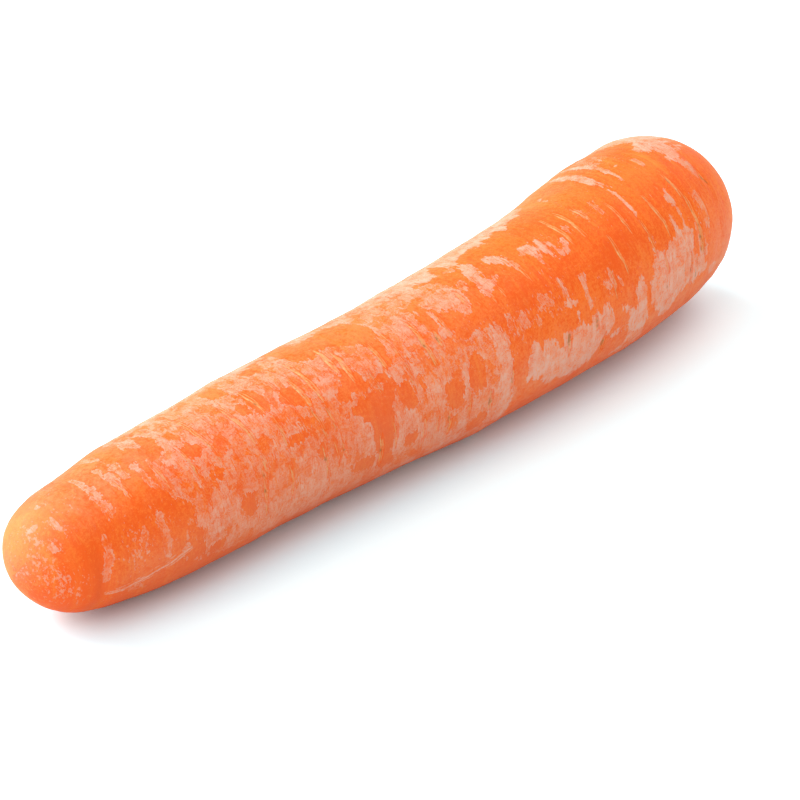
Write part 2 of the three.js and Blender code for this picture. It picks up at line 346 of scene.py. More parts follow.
# Cream creases across the root: place and bearing of both ends, half width and strength.
CREASES = [
    (18.4, 130, 18.4, 110, 0.22, 0.8), (31.6, 84, 31.3, 76, 0.3, 0.8), (37.8, 136, 36.6, 72, 0.26, 0.9),
    (46.3, 143, 45, 98, 0.32, 0.9), (44.2, 190, 44.9, 156, 0.3, 0.7), (51.6, 120, 51.2, 94, 0.35, 1),
    (52, 152, 52.5, 122, 0.2, 0.6), (51, 190, 51.2, 162, 0.3, 0.7), (57.2, 150, 57, 96, 0.16, 0.5),
    (60.5, 134, 60.7, 104, 0.38, 1), (63.6, 137, 63.8, 86, 0.34, 1), (59.8, 186, 59.5, 158, 0.24, 0.8),
    (62.5, 180, 62.3, 163, 0.24, 0.7), (64.3, 178, 64.2, 168, 0.24, 0.7), (70.1, 122, 70.9, 92, 0.42, 1),
    (71.9, 132, 72.6, 103, 0.42, 1), (73.3, 200, 73.4, 173, 0.3, 0.9), (76.8, 190, 77, 166, 0.24, 0.7),
    (79.6, 134, 79.9, 110, 0.35, 0.9), (83.8, 150, 84.2, 104, 0.22, 0.7), (84.3, 197, 84.2, 176, 0.26, 0.7),
    (87.8, 192, 87.5, 176, 0.24, 0.6), (89.9, 147, 90.6, 106, 0.34, 1), (91.2, 202, 91, 180, 0.28, 0.8),
    (93.4, 138, 93.7, 124, 0.42, 0.9), (96, 194, 96.2, 176, 0.26, 0.7), (96.5, 132, 96.9, 114, 0.28, 0.7),
    (102.2, 199, 102, 182, 0.3, 0.8), (104.3, 122, 104.6, 104, 0.3, 0.9), (107.7, 188, 107.9, 176, 0.26, 0.8),
    (110.2, 130, 110.5, 116, 0.22, 0.7), (113.1, 128, 113.4, 112, 0.22, 0.8),
    (120.5, 127, 120.8, 106, 0.3, 0.9), (124.3, 185, 124.8, 169, 0.3, 0.9),
    (126.5, 137, 126.7, 112, 0.14, 0.6), (132.8, 179, 133, 169, 0.3, 0.8), (135.7, 200, 136, 187, 0.34, 0.8),
    (135.9, 120, 135.8, 90, 0.36, 1), (139.8, 120, 139.9, 91, 0.36, 1), (139.9, 166, 140.3, 146, 0.22, 0.8),
    (144.8, 156, 144.2, 130, 0.32, 1), (144, 114, 143.7, 96, 0.32, 0.9), (148.2, 113, 148.4, 102, 0.22, 0.6),
    (150.9, 137, 150.6, 111, 0.32, 0.9), (155.2, 158, 154.9, 130, 0.24, 0.9),
    (161.1, 150, 160.1, 122, 0.34, 1), (172, 177, 170.9, 132, 0.32, 1.1), (52.1, 152, 52, 131, 0.2, 0.7),
    (60.7, 160, 60.5, 134, 0.22, 0.8), (63.4, 155, 63.5, 137, 0.22, 0.8), (76, 147, 75.8, 126, 0.18, 0.7),
    (45.9, 160, 46.2, 143, 0.22, 0.8), (66.8, 118, 67, 102, 0.16, 0.6), (41.2, 120, 41, 96, 0.16, 0.6),
    (32, 136, 31.9, 112, 0.22, 0.9), (25.7, 140, 25.6, 112, 0.22, 0.8), (107, 128, 107.2, 116, 0.16, 0.6),
    (117.6, 116, 117.8, 104, 0.18, 0.6), (129.9, 118, 130, 104, 0.18, 0.6), (176.6, 164, 176, 138, 0.2, 0.7),
    (178.6, 132, 180, 145, 0.16, 0.6), (163.2, 70, 163.4, 84, 0.2, 0.6), (148.3, 152, 148, 132, 0.14, 0.5),
    (157.8, 172, 157.2, 160, 0.3, 0.7), (166.2, 190, 166.6, 168, 0.2, 0.7), (160.9, 96, 160.7, 76, 0.2, 0.7),
    (170.4, 137, 169.7, 118, 0.4, 1), (168.2, 107, 168.3, 90, 0.26, 0.7), (182.3, 139, 181.3, 124, 0.34, 0.9),
    (165, 125, 165.2, 121, 0.3, 0.7),
]
# Faint yellow bands across the flesh, in the same way.
PALE_BANDS = [
    (158.5, 124, 158.5, 84, 1.6, 0.5), (171.5, 122, 171.3, 92, 1.1, 0.8), (20.3, 136, 21.6, 112, 0.9, 0.4),
    (150.5, 118, 151.5, 80, 1.4, 0.4), (144, 150, 143.8, 108, 0.9, 0.4), (98.5, 196, 99.4, 168, 0.9, 0.2),
]
# Where a bundle of long fine scratches runs.
SCRATCHES = [(10.8, 203), (14, 201.5), (17, 197.5), (20, 193.5), (23, 190.5), (26, 186.5)]
# Brown pits: place, bearing and radius.
PITS = [
    (31.6, 80, 0.35), (45, 160, 0.3), (44.6, 172, 0.28), (51.6, 111, 0.3), (59.6, 172, 0.35),
    (64.2, 173, 0.25), (73.4, 187, 0.35), (90.2, 131, 0.3), (90.9, 188, 0.35), (93.5, 131, 0.35),
    (102.1, 190, 0.55), (107.8, 182, 0.4), (124.5, 177, 0.5), (124.8, 172, 0.35), (133, 174, 0.5),
    (135.8, 193, 0.6), (137.7, 110, 0.22), (157, 179, 0.35), (163.8, 178, 0.35), (168.9, 187, 0.3),
    (168.8, 182, 0.4), (169, 175, 0.3), (170, 128, 0.4), (169.8, 122, 0.35), (181.9, 133, 0.5),
    (182.6, 137, 0.35), (179.8, 139, 0.22), (171.5, 165, 0.4), (171.2, 172, 0.35), (171.8, 158, 0.3),
    (169.2, 170, 0.3), (166.4, 180, 0.25), (160.6, 136, 0.22),
]
# Shallow dents across the root, as the swellings are given.
GROOVES = [
    (9.4, 186, 0.6, 1.5, 42), (45, 150, 0.14, 0.9, 40), (73.4, 180, 0.16, 1, 30), (102, 190, 0.18, 1, 24),
    (124.6, 170, 0.16, 1.1, 25), (135.8, 190, 0.2, 1, 24), (155.2, 130, 0.14, 0.9, 40),
    (171.3, 150, 0.2, 1, 34), (182, 120, 0.18, 1, 30), (37.4, 100, 0.12, 0.8, 40), (63.7, 110, 0.12, 0.8, 35),
    (90.2, 120, 0.12, 0.8, 30),
]
# Where the flesh is a deeper red, partly its own colour and partly painted shade on the lower side, in the
# tip's groove and along the underside: place, bearing, half length, half width in degrees and amount.
DEEP_FLESH_AND_SHADE = [
    (4.4, 190, 4.4, 36, 1.1), (9.4, 188, 0.9, 40, 0.7), (30, 156, 7, 22, 0.4), (62, 156, 10, 18, 0.5),
    (13, 152, 12, 26, 1), (28, 202, 14, 14, 0.5), (56, 208, 20, 12, 0.6), (40, 162, 9, 24, 0.7),
    (178, 126, 7, 18, 0.4), (73, 160, 9, 24, 0.7), (93, 168, 8, 20, 0.6), (118, 140, 26, 14, 0.5),
    (146, 142, 16, 16, 0.3), (160, 208, 14, 10, 0.6), (126, 212, 14, 10, 0.6), (100, 234, 110, 11, 1.2),
]
# Where a soft pale veil lies over the skin, in the same way: partly real haze, partly painted sheen over the
# top and a painted reflection along the lower limb.
VEILED_AND_SHEEN = [
    (12, 82, 20, 34, 0.8), (12, 114, 12, 22, 0.4), (19, 188, 7, 18, 0.9), (66, 70, 42, 20, 0.5),
    (84, 220, 66, 7, 0.6), (150, 202, 46, 22, 1.2), (112, 188, 12, 22, 0.8), (150, 168, 20, 20, 0.5),
    (188, 76, 6, 16, 1), (148, 68, 18, 22, 0.5), (182, 78, 6, 22, 1), (183, 180, 9, 28, 0.8),
    (40, 106, 30, 20, 0.5), (86, 120, 32, 58, 0.5),
]
# Where painted shade darkens the lower side towards the tip to a duller red-brown.
SHADED_LOWER_SIDE = [
    (34, 190, 32, 38, 0.7), (78, 190, 32, 38, 0.8),
]
# Where pale flecks are strewn.
FLECKED = [
    (4.6, 192, 2.8, 30, 1.1), (1.6, 140, 1.8, 90, 0.9), (17, 186, 4, 20, 0.5), (46, 140, 14, 18, 0.3),
    (8, 90, 5, 30, 0.5), (3.4, 118, 2.2, 30, 0.5), (17, 158, 4, 18, 0.7), (14.5, 172, 3, 12, 0.5),
    (22, 170, 2.5, 30, 0.6), (28, 166, 3, 20, 0.7), (40, 165, 6, 16, 0.5), (104, 150, 6, 25, 0.6),
    (112, 152, 6, 14, 0.8), (122, 148, 6, 12, 0.9), (130, 112, 8, 14, 0.5), (137, 158, 5, 10, 0.8),
    (146, 105, 4, 16, 0.6), (147, 165, 3, 16, 0.6), (166, 80, 5, 12, 0.7), (174, 152, 3, 16, 0.7),
    (184, 100, 4, 10, 0.8),
]

# The far side repeats the markings, mirrored about half this angle and slid along.
FAR_SIDE_MIRROR = 94
FAR_SIDE_START = 9
FAR_SIDE_SHARE = 0.92

REACH = 3.0  # how far from its edge a marking is measured, in millimetres
NARROW = 1.3  # patches less deep than this, in millimetres, are drawn fuller
NARROWEST = 0.4  # and these fullest
FULLER_BY = 0.15

WANDER = 0.13  # how far a stroke strays from a straight line, in millimetres
STRAND_GAP = 0.5
STRANDS = [(0, 1, 7), (STRAND_GAP, 0.6, 4)]  # a stroke's strands: shift, weight and phase
BROKEN = 0.15  # how much a stroke's strength and width come and go
BLUNT = 0.25  # the share of a stroke's width that its ends keep
BUNDLE = (1.2, 0.7)  # how far from its middle the bundle of scratches ends, and is full
PIT_STRETCH = 0.6  # pits are longer round the root than along it, by one over this


def both_sides(corners):
    """A marking's outline, and its copy for the far side of the root."""
    copied = [(FAR_SIDE_START + FAR_SIDE_SHARE * at, FAR_SIDE_MIRROR - facing) for at, facing in corners]
    return [corners, copied]


def near_field(outline, margin):
    """Rows of the skin near a marking, flat offsets from its middle there, and its corners so placed."""
    alongs, degrees = zip(*outline)
    middle = (max(degrees) + min(degrees)) / 2
    girth = float(np.interp(np.mean(alongs), ring_along, ring_radius))
    corner_arc = np.interp(alongs, ring_along, ring_arc)
    rows = np.flatnonzero((ring_arc > corner_arc.min() - margin) & (ring_arc < corner_arc.max() + margin))
    rows = slice(rows[0], rows[-1] + 1)
    x = np.broadcast_to(ring_arc[rows, None], (rows.stop - rows.start, SIDES))
    y = np.broadcast_to(turn_from(angle, middle) * girth, x.shape)
    corners = np.stack([corner_arc, np.radians(np.array(degrees) - middle) * girth], axis=1)
    return rows, x, y, corners


def to_segment(x, y, start, end):
    """Distance from points to a segment, and how far along it the nearest point is, from 0 to 1."""
    run = end - start
    t = np.clip(((x - start[0]) * run[0] + (y - start[1]) * run[1]) / (run @ run), 0, 1)
    return np.hypot(x - start[0] - t * run[0], y - start[1] - t * run[1]), t


def inside_by(outline):
    """Rows near an outline, and each point's distance inside its edge there, in millimetres."""
    rows, x, y, corners = near_field(outline, REACH)
    distance = np.full(x.shape, np.inf)
    inside = np.zeros(x.shape, bool)
    for start, end in zip(corners, np.roll(corners, -1, axis=0)):
        distance = np.minimum(distance, to_segment(x, y, start, end)[0])
        crosses = (start[1] > y) != (end[1] > y)
        rise = end[1] - start[1]
        meets = start[0] + (y - start[1]) * (end[0] - start[0]) / (rise or 1)
        inside ^= crosses & (x < meets)
    return rows, np.where(inside, distance, -distance)


def film_field(patches, openings=()):
    """Distance inside the nearest film edge, over the whole skin."""
    field = np.full((RINGS, SIDES), -REACH)
    for outline in sum(map(both_sides, patches), []):
        rows, depth = inside_by(outline)
        fuller = smoothstep(depth.max(), NARROW, NARROWEST)
        field[rows] = np.maximum(field[rows], depth * (1 + fuller) + FULLER_BY * fuller)
    for outline in sum(map(both_sides, openings), []):
        rows, depth = inside_by(outline)
        field[rows] = np.minimum(field[rows], -depth)
    return np.clip(field, -REACH, REACH)


def stroke_field(strokes):
    """Wandering, tapered strokes in two strands, each 1 on its middle line and 0 at its edge."""
    field = np.zeros((RINGS, SIDES))
    for *ends, half_width, strength in strokes:
        for one in both_sides([ends[:2], ends[2:]]):
            place = one[0][0]
            rows, x, y, corners = near_field(one, 2 * half_width + STRAND_GAP + WANDER)
            for shift, weight, phase in STRANDS:
                bend = np.sin(0.9 * y + phase * place) + 0.5 * np.sin(2.3 * y + 3 * place)
                off, t = to_segment(x + WANDER * bend - shift, y, *corners)
                broken = 1 - BROKEN + BROKEN * np.sin(1.7 * y + phase * place)
                taper = half_width * (BLUNT + (1 - BLUNT) * np.sin(math.pi * t) ** 0.7) * broken
                here = weight * strength * broken * np.clip(1 - off / taper, 0, 1)
                field[rows] = np.maximum(field[rows], here)
    return field


def scratch_fields(line):
    """Signed offset from the bundle's middle line, and how much of the bundle there is."""
    offset = np.full((RINGS, SIDES), REACH)
    presence = np.zeros((RINGS, SIDES))
    for one in both_sides(line):
        rows, x, y, corners = near_field(one, REACH)
        for start, end in zip(corners[:-1], corners[1:]):
            run = end - start
            off, _ = to_segment(x, y, start, end)
            side = np.sign((x - start[0]) * run[1] - (y - start[1]) * run[0])
            nearer = off < np.abs(offset[rows])
            offset[rows] = np.where(nearer, off * side, offset[rows])
            presence[rows] = np.maximum(presence[rows], smoothstep(off, *BUNDLE))
    return np.clip(offset, -REACH, REACH), presence


def pit_field(pits):
    """Small pits: 1 in the middle and 0 at twice their radius."""
    field = np.zeros((RINGS, SIDES))
    for at, facing, size in pits:
        for one in both_sides([(at, facing)]):
            rows, x, y, corners = near_field(one, REACH)
            off = np.hypot(x - corners[0, 0], (y - corners[0, 1]) * PIT_STRETCH)
            field[rows] = np.maximum(field[rows], np.clip(1 - off / (2 * size), 0, 1))
    return field


def spread_field(places):
    """How much of a tone or speckle a table of soft-edged places gives."""
    amount = 0
    for at, facing, half_length, half_width, strength in places:
        for middle, bearing in sum(both_sides([(at, facing)]), []):
            share = radius / np.interp(middle, ring_along, ring_radius)
            u = (along - middle) / half_length
            v = turn_from(angle, bearing) * np.minimum(share, 1) / math.radians(half_width)
            amount = amount + strength * np.exp(-u * u - v * v)
    return amount


thick_film = film_field(THICK_FILM)
creases = stroke_field(CREASES)
scratch_offset, scratch_presence = scratch_fields(SCRATCHES)
pits = pit_field(PITS)


# ---- The skin's mesh ----
UNEVEN = [(0.17, 8, 1), (0.035, 1.6, 0.16), (0.02, 1.4, 1)]  # height, grain and squeeze round the root
OCTAVES = 2
CREASE_DEPTH = 0.25
PIT_DEPTH = 0.2
FILM_HEIGHT = 0.03
FILM_STEP = (-0.3, 0.4)  # the distances from its outline over which it rises
POLE_CALM = 3  # the radius within which the relief dies away
CROWN_REACH = 16  # the radius to which the crown's colours are measured


def straightened():
    """Every point of the straightened root, with its axis on X."""
    x = np.broadcast_to(along, (RINGS, SIDES))
    return np.stack([x, radius * np.cos(angle), radius * np.sin(angle)], axis=-1)


def lumps(points, size):
    """Even organic noise of about one unit, at a grain size in millimetres."""
    flat = (points / size).reshape(-1, 3).tolist()
    values = [noise.fractal(Vector(p), 1.0, 2.0, OCTAVES) for p in flat]
    return np.array(values).reshape(points.shape[:2])


def relief(points):
    """Fine height of the skin over the smooth form, in millimetres."""
    height = 0
    for tall, size, squeeze in UNEVEN:
        height = height + tall * lumps(points * np.array([1, squeeze, squeeze]), size)
    height -= CREASE_DEPTH * creases + PIT_DEPTH * pits + swells(GROOVES, power=4)
    height += FILM_HEIGHT * smoothstep(thick_film, *FILM_STEP)
    return height


def settled(height):
    """The skin's points as the root lies, with a height added to its skin."""
    full = through(RADIUS, along)
    share = radius / full
    section = radius * (1 + WIDER_THAN_TALL * np.cos(2 * angle)) + swells(SWELLINGS) * share
    section = section + height * smoothstep(radius, 0, POLE_CALM)
    crown = np.where(crown_half, crown_face(radius, angle), 0)
    lifted = clearance(TIP_RISE, along) + clearance(CROWN_RISE, LENGTH - along)
    axis_height = full * (1 - WIDER_THAN_TALL) + lifted - SETTLED
    return np.stack([
        np.broadcast_to(along, section.shape) + crown,
        through(SWAY, along) + section * np.cos(angle),
        np.maximum(axis_height + section * np.sin(angle), 0),
    ], axis=-1)


def skin_faces():
    """Quads between rings, and a fan of triangles round each pole."""
    sides = [(side, (side + 1) % SIDES) for side in range(SIDES)]
    last = 1 + (RINGS - 3) * SIDES
    faces = []
    for side, turn in sides:
        faces.append((0, 1 + turn, 1 + side))
        faces.append((last + SIDES, last + side, last + turn))
    for low in range(1, last, SIDES):
        high = low + SIDES
        faces += [(low + side, low + turn, high + turn, high + side) for side, turn in sides]
    return faces


def one_pole(grid):
    """A grid of values as a list of vertices, with one vertex for each pole."""
    grid = np.asarray(grid, float)
    inner = grid[1:-1].reshape(-1, *grid.shape[2:])
    return np.concatenate([grid[:1, 0], inner, grid[-1:, 0]])


def fitted(places, box):
    """Points moved and stretched by a hair to fill a box."""
    low, high = np.array(box[0]), np.array(box[1])
    first, last = places.min(0), places.max(0)
    return low + (places - first) / (last - first) * (high - low)


def make_skin():
    points = straightened()
    places = fitted(one_pole(settled(relief(points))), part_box("carrot_root"))
    mesh = bpy.data.meshes.new("carrot_root_skin")
    mesh.from_pydata(places.tolist(), [], skin_faces())
    mesh.validate()
    mesh.shade_smooth()
    straight = mesh.attributes.new("straightened", "FLOAT_VECTOR", "POINT")
    straight.data.foreach_set("vector", one_pole(points).ravel())
    fields = {
        "thin_film": film_field(THIN_FILM, BARE),
        "thick_film": thick_film,
        "crease": creases,
        "pale_band": stroke_field(PALE_BANDS),
        "scratch_offset": scratch_offset,
        "scratch_presence": scratch_presence,
        "flecked": spread_field(FLECKED),
        "deep_flesh_and_shade": spread_field(DEEP_FLESH_AND_SHADE),
        "veiled_and_sheen": spread_field(VEILED_AND_SHEEN),
        "painted_shade": spread_field(SHADED_LOWER_SIDE),
        "pit": pits,
        "crown": (1 - radius / CROWN_REACH) * crown_half,
        "crown_rays": waves(angle, CROWN_RAYS),
        "stub": on_stub(radius, angle) * crown_half,
    }
    for name, grid in fields.items():
        attribute = mesh.attributes.new(name, "FLOAT", "POINT")
        attribute.data.foreach_set("value", one_pole(np.broadcast_to(grid, (RINGS, SIDES))))
    skin = bpy.data.objects.new("carrot_root_skin", mesh)
    bpy.context.scene.collection.objects.link(skin)
    return skin


# ---- Shader maths ----
NOISE_SPREAD = 8  # brings noise to about one unit either way


class Shade:
    """One socket of a material, on which + - * and the rest add the Math nodes they stand for."""

    def __init__(self, paint, socket):
        self.paint = paint
        self.socket = socket

    def math(self, operation, a, b, c=0):
        return self.paint.node("ShaderNodeMath", {"operation": operation}, {0: a, 1: b, 2: c})

    def __add__(self, other):
        return self.math("ADD", self, other)

    def __sub__(self, other):
        return self.math("SUBTRACT", self, other)

    def __rsub__(self, other):
        return self.math("SUBTRACT", other, self)

    def __mul__(self, other):
        return self.math("MULTIPLY", self, other)

    __radd__ = __add__

    def most(self, other):
        return self.math("MAXIMUM", self, other)

    def ease(self, low, high):
        """0 below low and 1 above high, smoothly."""
        limits = {"Value": self, "From Min": low, "From Max": high}
        return self.paint.node("ShaderNodeMapRange", {"interpolation_type": "SMOOTHSTEP"}, limits)

    def line(self, edge, core):
        """A line where this passes through zero: 1 within core of it and 0 beyond edge."""
        return self.math("ABSOLUTE", self, 0).ease(edge, core)


class Paint:
    """The node tree of a material or world, built by calls that read as a recipe."""

    def __init__(self, owner):
        owner.use_nodes = True
        self.tree = owner.node_tree
        self.tree.nodes.clear()

    def node(self, kind, settings, sockets, output=0):
        """Adds a node: its settings come first, then the values or links of its sockets."""
        made = self.tree.nodes.new(kind)
        for name, value in settings.items():
            setattr(made, name, value)
        for name, value in sockets.items():
            if isinstance(value, Shade):
                self.tree.links.new(value.socket, made.inputs[name])
            else:
                made.inputs[name].default_value = value
        return Shade(self, made.outputs[output]) if made.outputs else None

    def field(self, name):
        """A number that the mesh carries."""
        return self.node("ShaderNodeAttribute", {"attribute_name": name}, {}, "Fac")

    def vector(self, operation, sockets, output="Vector"):
        return self.node("ShaderNodeVectorMath", {"operation": operation}, sockets, output)

    def scaled(self, place, x, y, z):
        return self.vector("MULTIPLY", {0: place, 1: (x, y, z)})

    def drawn_round(self, place, squeeze):
        """A place squeezed across the axis, by which noise is drawn out round the root."""
        return self.scaled(place, 1, squeeze, squeeze)

    def length(self, vector):
        return self.vector("LENGTH", {0: vector}, "Value")

    def noise(self, place, scale, detail=2, roughness=0.5, distortion=0):
        """Noise about zero, with so many grains to the millimetre."""
        sockets = {"Vector": place, "Scale": scale, "Detail": detail, "Roughness": roughness}
        made = self.node("ShaderNodeTexNoise", {}, {**sockets, "Distortion": distortion}, "Fac")
        return (made - 0.5) * NOISE_SPREAD

    def mix(self, share, first, second):
        """A colour between two, by a share from 0 to 1."""
        sockets = {0: share, 6: first, 7: second}
        return self.node("ShaderNodeMix", {"data_type": "RGBA"}, sockets, 2)


# ---- The carrot's skin ----
# The deep flesh colour is also the colour of painted shade, beside the creases and where deeper flesh is
# listed.
FLESH_DEEP_AND_SHADE = (0.9, 0.112, 0.009, 1)
FLESH_LIGHT = (0.96, 0.188, 0.022, 1)
FLESH_YELLOW = (0.95, 0.28, 0.036, 1)
TIP_PALE = (0.94, 0.33, 0.085, 1)
CROWN_FLESH = (0.95, 0.26, 0.012, 1)
FILM = (0.82, 0.46, 0.33, 1)
THIN_HAZE = (0.83, 0.43, 0.265, 1)
# The veil's colour is partly real haze and partly painted sheen and reflection; frost is painted sheen that
# whitens the film under the veil.
VEIL_AND_SHEEN = (0.84, 0.55, 0.34, 1)
FROST_AND_SHEEN = (0.85, 0.64, 0.58, 1)
# The colour of painted shade on the lower side towards the tip.
SHADE_RED_BROWN = (0.72, 0.2, 0.09, 1)
CREASE_EDGE = (0.88, 0.36, 0.13, 1)
CREASE_CORE = (0.9, 0.54, 0.24, 1)
BROWN = (0.27, 0.11, 0.03, 1)
CROWN = (0.2, 0.125, 0.03, 1)
CROWN_EDGE = (0.5, 0.22, 0.03, 1)
STUB_PALE = (0.5, 0.42, 0.17, 1)
STUB_DARK = (0.24, 0.17, 0.05, 1)

# How fully each layer hides what lies under it, from 0 to 1.
COVER = {
    "yellow_bands": 0.28, "pale_bands": 0.7, "growth_lines": 0.35, "tip": 0.75, "crown_flesh": 0.4,
    "veil_and_sheen": 0.14, "shade_under_film": 0.42, "shade_over_film": 0.2, "frost_and_sheen": 0.8,
    "film_rim": 0.23, "cracks": 0.85, "fine_cracks": 0.75, "long_cracks": 0.8, "flecks": 0.5,
    "crease_shade_outline": 0.6, "crease_edge": 0.75, "crease_core": 0.85, "pits": 0.52,
    "crown_edge": 0.7, "crown": 0.85,
}
# What the film's cover is made up of.
THIN = {"least": 0.15, "whole": 0.3, "hairs": 0.2}
THICK = {"least": 0.52, "whole": 0.15, "hairs": 0.08, "fibres": 0.07, "less_by_tip": 0.07}
FILM_EDGE = (-0.05, 0.1)  # the distances from its outline over which the film begins
FILM_THINS = (112, 88)  # the places along the root between which thick film gets thinner

GLOSS_IOR = 1.15
FLESH_ROUGHNESS = 0.42
FILM_ROUGHNESS = 0.25  # what the film adds
BUMP = {"Strength": 0.5, "Distance": 0.0001}


def shared_noise(paint):
    """What several layers of the skin are painted by, at each place on it."""
    place = paint.node("ShaderNodeAttribute", {"attribute_name": "straightened"}, {}, "Vector")
    return SimpleNamespace(
        place=place,
        along=paint.node("ShaderNodeSeparateXYZ", {}, {0: place}, "X"),
        round_root=paint.drawn_round(place, 0.2),
        broad=paint.noise(place, 0.1, 3),
        cloud=paint.noise(place, 0.35),
        mottle=paint.noise(place, 1.3, 3, 0.65),
        grain=paint.noise(place, 1.8, 3, 0.75),
        fine=paint.noise(place, 3.4, 2, 0.7),
    )


def flesh_colour(paint, at):
    """Deep orange, deeper still where painted shade is listed, yellower in soft bands, along growth lines and
    at both ends.
    """
    # Darker flesh, partly its own deeper red and partly painted shade.
    deep_and_shade = paint.field("deep_flesh_and_shade")
    bands = paint.noise(paint.drawn_round(at.place, 0.08), 0.6, 4, 0.65)
    rings = paint.noise(paint.drawn_round(at.place, 0.05), 1.4, 3, 0.7)
    growth = paint.noise(paint.drawn_round(at.place, 0.05), 0.8, 3, 0.6, 0.5)
    growth = growth.line(0.09, 0.02) * at.cloud.ease(-0.4, 0.6)
    tone = at.broad * 0.18 + at.mottle * 0.24 + at.fine * 0.23 + rings * 0.12 + 0.54 - deep_and_shade * 0.5
    flesh = paint.mix(tone.ease(0, 1), FLESH_DEEP_AND_SHADE, FLESH_LIGHT)
    flesh = paint.mix(bands.ease(0.2, 2) * COVER["yellow_bands"], flesh, FLESH_YELLOW)
    flesh = paint.mix(paint.field("pale_band").ease(0, 0.9) * COVER["pale_bands"], flesh, FLESH_YELLOW)
    flesh = paint.mix(growth * COVER["growth_lines"], flesh, FLESH_YELLOW)
    by_tip = at.along + at.grain * 2.4 + at.cloud * 2 + at.mottle * 2.4 + at.fine * 1.4 + deep_and_shade * 4
    flesh = paint.mix(by_tip.ease(8, -2) * COVER["tip"], flesh, TIP_PALE)
    by_crown = at.along + at.mottle * 1.5 + at.cloud * 2
    return paint.mix(by_crown.ease(182, 198) * COVER["crown_flesh"], flesh, CROWN_FLESH)


def scale_tones(paint, at):
    """The film's small scales, each with a tone of its own, as a half unit either way."""
    warp = paint.node("ShaderNodeTexNoise", {}, {"Vector": at.place, "Scale": 1.3, "Detail": 3}, "Color")
    warped = paint.vector("MULTIPLY_ADD", {0: warp, 1: (1.8,) * 3, 2: at.place})
    scales = {"Vector": paint.drawn_round(warped, 0.7), "Scale": 1}
    tones = paint.node("ShaderNodeTexVoronoi", {}, scales, "Color")
    return paint.node("ShaderNodeSeparateXYZ", {}, {0: tones}, "X") - 0.5


def crack_cover(paint, at):
    """Cracks in the film, most of them round the root and a few along it."""
    wide = paint.noise(paint.drawn_round(at.place, 0.09), 0.8, 3, 0.65, 0.4)
    lengthwise = paint.noise(paint.scaled(at.place, 0.25, 1, 1), 0.7, 3, 0.65, 0.4)
    fine = paint.noise(paint.drawn_round(at.place, 0.06), 2, 2, 0.6, 0.3)
    cracks = wide.line(0.12, 0.03) * at.cloud.ease(-0.8, 0.3)
    cracks = cracks.most(fine.line(0.13, 0.03) * at.cloud.ease(0.6, -0.3) * COVER["fine_cracks"])
    return cracks.most(lengthwise.line(0.1, 0.02) * at.cloud.ease(0.6, -0.6) * COVER["long_cracks"])


def scratch_cover(paint, at):
    """A bundle of long broken scratches, side by side."""
    across = paint.field("scratch_offset") + at.grain * 0.04 + at.cloud * 0.1
    scratch = across.line(0.3, 0.1)
    scratch = scratch.most((across - 0.5).line(0.2, 0.06) * at.cloud.ease(-0.7, 0.2))
    scratch = scratch.most((across + 0.55).line(0.2, 0.06) * at.broad.ease(-0.5, 0.3))
    scratch = scratch.most((across - 0.95).line(0.2, 0.06) * at.cloud.ease(0.4, -0.3))
    return scratch * paint.field("scratch_presence") * (0.45 + (at.grain + at.fine).ease(-1, 1) * 0.45)


def film_cover(paint, at):
    """How fully the film hides the flesh: ragged at its edges, crazed, and thicker in places."""
    fibres = paint.noise(at.round_root, 3, 3, 0.7)
    ragged = paint.noise(at.place, 0.5, 3, 0.6) * 0.38 + paint.noise(at.round_root, 1.4, 3, 0.65) * 0.4
    ragged = ragged + at.grain * 0.17
    sheet = paint.noise(paint.drawn_round(at.place, 0.8), 0.36, 4, 0.62, 0.3) + 0.35
    flakes = paint.noise(at.place, 0.85, 3, 0.6, 0.2) + 0.5
    whole = sheet.ease(-0.05, 0.07) * (0.64 + flakes.ease(-0.06, 0.08) * 0.36)
    hairs = paint.noise(paint.drawn_round(at.place, 0.07), 1.1, 2, 0.6, 0.3)
    hairs = hairs.line(0.06, 0.015) * at.cloud.ease(-0.3, 0.4)
    uneven = at.cloud * 0.05 + scale_tones(paint, at) * 0.14 + at.grain * 0.07 + at.fine * 0.09
    thin_depth = paint.field("thin_film") + ragged
    thick_depth = paint.field("thick_film") + ragged
    thin_edge = thin_depth.ease(*FILM_EDGE)
    thin = thin_edge * (THIN["least"] + whole * THIN["whole"] + hairs * THIN["hairs"] + uneven)
    thick = THICK["least"] + whole * THICK["whole"] + hairs * THICK["hairs"] + uneven
    thick = thick + fibres * THICK["fibres"] - at.along.ease(*FILM_THINS) * THICK["less_by_tip"]
    thick = thick_depth.ease(*FILM_EDGE) * thick
    rim = thin_edge - thin_depth.ease(0.12, 0.5)
    film = thin.most(thick) * (1 - crack_cover(paint, at) * COVER["cracks"]) + rim * COVER["film_rim"]
    # The film thins where the flesh is deeper and where painted shade lies.
    film = film * (1 - paint.field("deep_flesh_and_shade") * 0.17)
    strewn = paint.noise(paint.drawn_round(at.place, 0.5), 2.3, 3, 0.72) + paint.field("flecked") * 1.1
    film = film.most((strewn + at.cloud * 0.3).ease(1.3, 2) * COVER["flecks"])
    return film.most(scratch_cover(paint, at))


